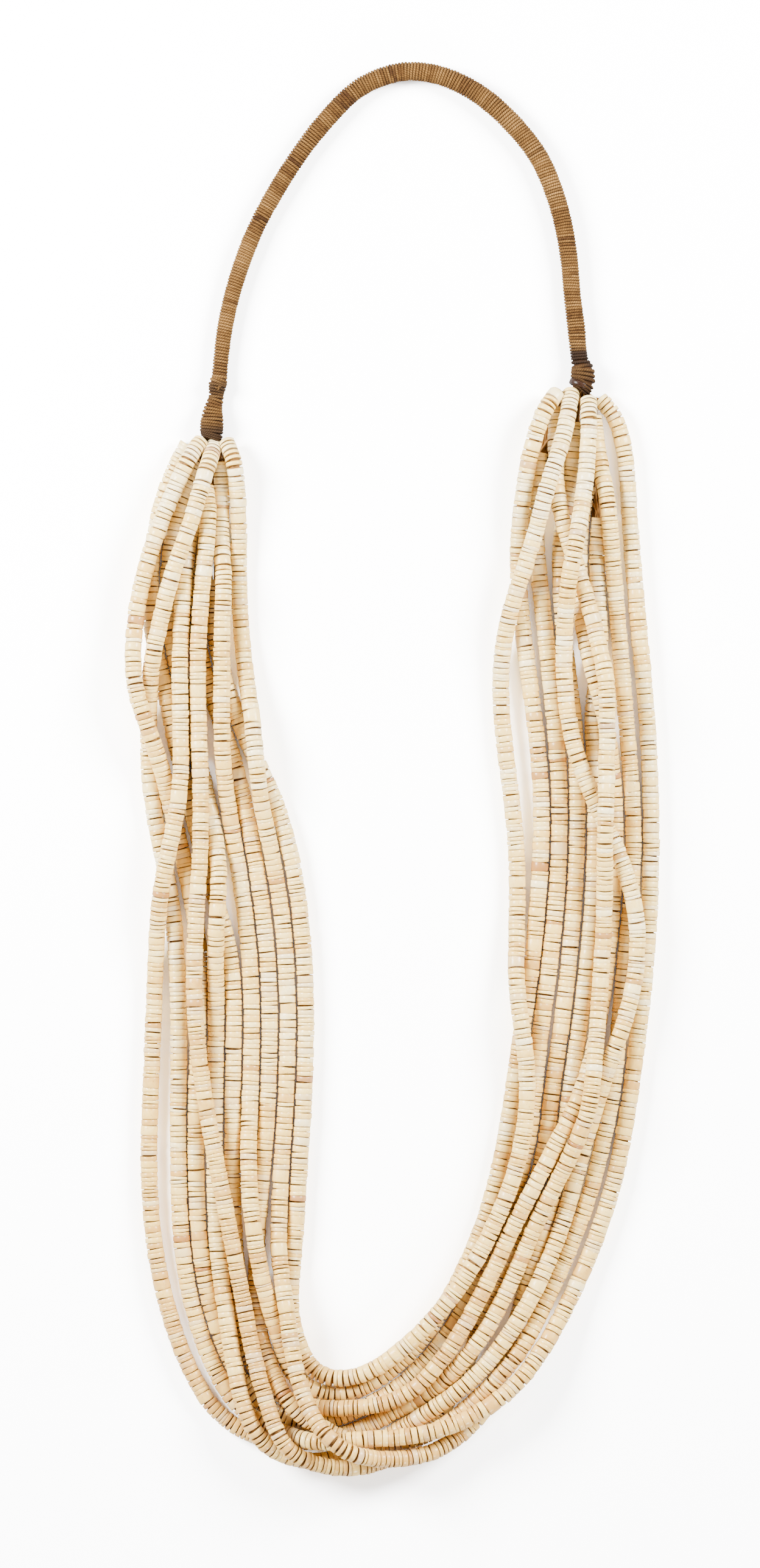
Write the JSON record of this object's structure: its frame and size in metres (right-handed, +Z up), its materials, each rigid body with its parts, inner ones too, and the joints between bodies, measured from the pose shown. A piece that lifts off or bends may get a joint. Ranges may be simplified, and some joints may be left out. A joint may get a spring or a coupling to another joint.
{
  "type": "heishi bead necklace",
  "caption": "Long multi-strand necklace of small shell discs, gathered at each side into a cord-wrapped neck piece, lying flat.",
  "frame": {"origin": "centre of the overall box, on the table plane that the necklace lies on", "axes": "+X to the right of the necklace as laid, +Y from its low end towards the wrapped neck piece, +Z up from the table"},
  "size_m": [0.1576, 0.4172, 0.0207],
  "materials": {
    "shell_discs": "satin, cream to ivory with tan flecks",
    "twine_wrap": "matte tan-brown twine, worn",
    "twine_binding": "matte brown twine, dark with age"
  },
  "bodies": {
    "root": {"strand_01": "shell_discs", "strand_02": "shell_discs", "strand_03": "shell_discs", "strand_04": "shell_discs", "strand_05": "shell_discs", "strand_06": "shell_discs", "strand_07": "shell_discs", "strand_08": "shell_discs", "strand_09": "shell_discs", "strand_10": "shell_discs", "neck_wrap": "twine_wrap", "left_binding": "twine_binding", "right_binding": "twine_binding"}
  },
  "joints": []
}
